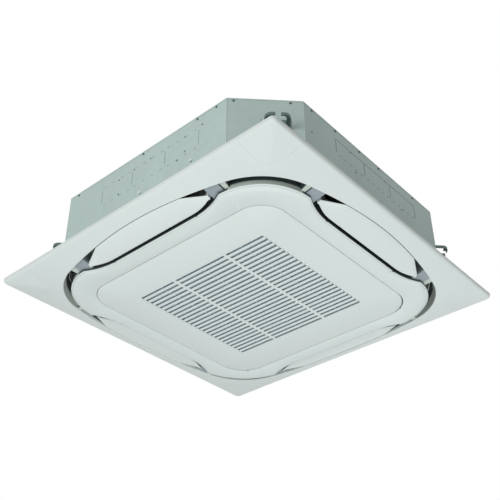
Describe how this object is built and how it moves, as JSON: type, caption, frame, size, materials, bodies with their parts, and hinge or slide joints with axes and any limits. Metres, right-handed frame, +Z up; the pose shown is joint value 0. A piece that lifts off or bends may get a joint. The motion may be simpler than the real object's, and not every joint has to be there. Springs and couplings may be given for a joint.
{
  "type": "ceiling cassette air conditioner",
  "caption": "Octagonal steel unit that hangs above a ceiling, with a square white panel below it: a central suction grille, a ring of outlets with tilting flaps, and corner covers.",
  "frame": {"origin": "on the centre line of the unit, in the plane of the lower face of the ceiling", "axes": "+Z up; X along the slats of the suction grille; the grille drops open at its -Y edge"},
  "size_m": [0.95, 0.95, 0.256],
  "materials": {
    "panel_white": "smooth satin white",
    "zinc_steel": "galvanised sheet, matt",
    "dark_steel": "dark zinc plate",
    "foam": "expanded foam",
    "black_foam": "soft foam",
    "grey_plastic": "satin",
    "dark_plastic": "satin",
    "fin": "bright fins",
    "copper": "drawn tube",
    "brass": "machined",
    "rubber": "matt"
  },
  "bodies": {
    "unit": {"panel_frame": "panel_white", "corner_cover_right_back": "panel_white", "corner_cover_left_back": "panel_white", "corner_cover_left_front": "panel_white", "corner_cover_right_front": "panel_white", "flap_motor_right": "grey_plastic", "flap_motor_back": "grey_plastic", "flap_motor_left": "grey_plastic", "flap_motor_front": "grey_plastic", "float_switch": "grey_plastic", "drain_socket": "grey_plastic", "bell_mouth": "dark_plastic", "drain_pump": "dark_plastic", "base_plate": "zinc_steel", "side_casing": "zinc_steel", "top_plate": "zinc_steel", "coil_plate_left": "zinc_steel", "coil_plate_back": "zinc_steel", "pipe_cover": "zinc_steel", "pump_bracket": "zinc_steel", "control_box": "zinc_steel", "control_box_cover": "zinc_steel", "grille_pin_left": "zinc_steel", "grille_pin_right": "zinc_steel", "panel_screw_right_back": "dark_steel", "panel_screw_left_back": "dark_steel", "panel_screw_left_front": "dark_steel", "panel_screw_right_front": "dark_steel", "hanger_bracket_right_back": "dark_steel", "hanger_bracket_left_back": "dark_steel", "hanger_bracket_left_front": "dark_steel", "hanger_bracket_right_front": "dark_steel", "fan_motor": "dark_steel", "insulation_liner": "foam", "drain_pan": "foam", "outlet_seal": "black_foam", "intake_seal": "black_foam", "drain_plug": "rubber", "drain_hose": "rubber", "motor_bush_1": "rubber", "motor_bush_2": "rubber", "motor_bush_3": "rubber", "coil": "fin", "gas_pipe": "copper", "liquid_pipe": "copper", "gas_flare_nut": "brass", "liquid_flare_nut": "brass"},
    "louvre_right": {"flap_right": "panel_white"},
    "louvre_back": {"flap_back": "panel_white"},
    "louvre_left": {"flap_left": "panel_white"},
    "louvre_front": {"flap_front": "panel_white"},
    "fan": {"impeller": "grey_plastic", "fan_nut": "zinc_steel"},
    "grille": {"suction_grille": "panel_white"},
    "filter": {"air_filter": "dark_plastic"},
    "latch_left": {"grille_latch_left": "grey_plastic"},
    "latch_right": {"grille_latch_right": "grey_plastic"},
    "float": {"switch_float": "foam"}
  },
  "joints": [
    {"name": "flap_right_tilt", "type": "hinge", "parent": "unit", "child": "louvre_right", "pos_m": [0.39, 0, -0.02], "axis": [0, 1, 0], "range_deg": [0, 60]},
    {"name": "flap_back_tilt", "type": "hinge", "parent": "unit", "child": "louvre_back", "pos_m": [0, 0.39, -0.02], "axis": [-1, 0, 0], "range_deg": [0, 60]},
    {"name": "flap_left_tilt", "type": "hinge", "parent": "unit", "child": "louvre_left", "pos_m": [-0.39, 0, -0.02], "axis": [0, -1, 0], "range_deg": [0, 60]},
    {"name": "flap_front_tilt", "type": "hinge", "parent": "unit", "child": "louvre_front", "pos_m": [0, -0.39, -0.02], "axis": [1, 0, 0], "range_deg": [0, 60]},
    {"name": "fan_spin", "type": "hinge", "parent": "unit", "child": "fan", "pos_m": [0, 0, 0.1], "axis": [0, 0, 1], "continuous": true},
    {"name": "grille_drop", "type": "hinge", "parent": "unit", "child": "grille", "pos_m": [0, 0.3025, -0.0378], "axis": [1, 0, 0], "range_deg": [0, 85]},
    {"name": "filter_slide", "type": "slide", "parent": "grille", "child": "filter", "axis": [0, 1, 0], "range_m": [0, 0.01]},
    {"name": "latch_left_slide", "type": "slide", "parent": "grille", "child": "latch_left", "axis": [0, -1, 0], "range_m": [0, 0.007]},
    {"name": "latch_right_slide", "type": "slide", "parent": "grille", "child": "latch_right", "axis": [0, -1, 0], "range_m": [0, 0.007]},
    {"name": "float_rise", "type": "slide", "parent": "unit", "child": "float", "axis": [0, 0, 1], "range_m": [0, 0.01]}
  ]
}
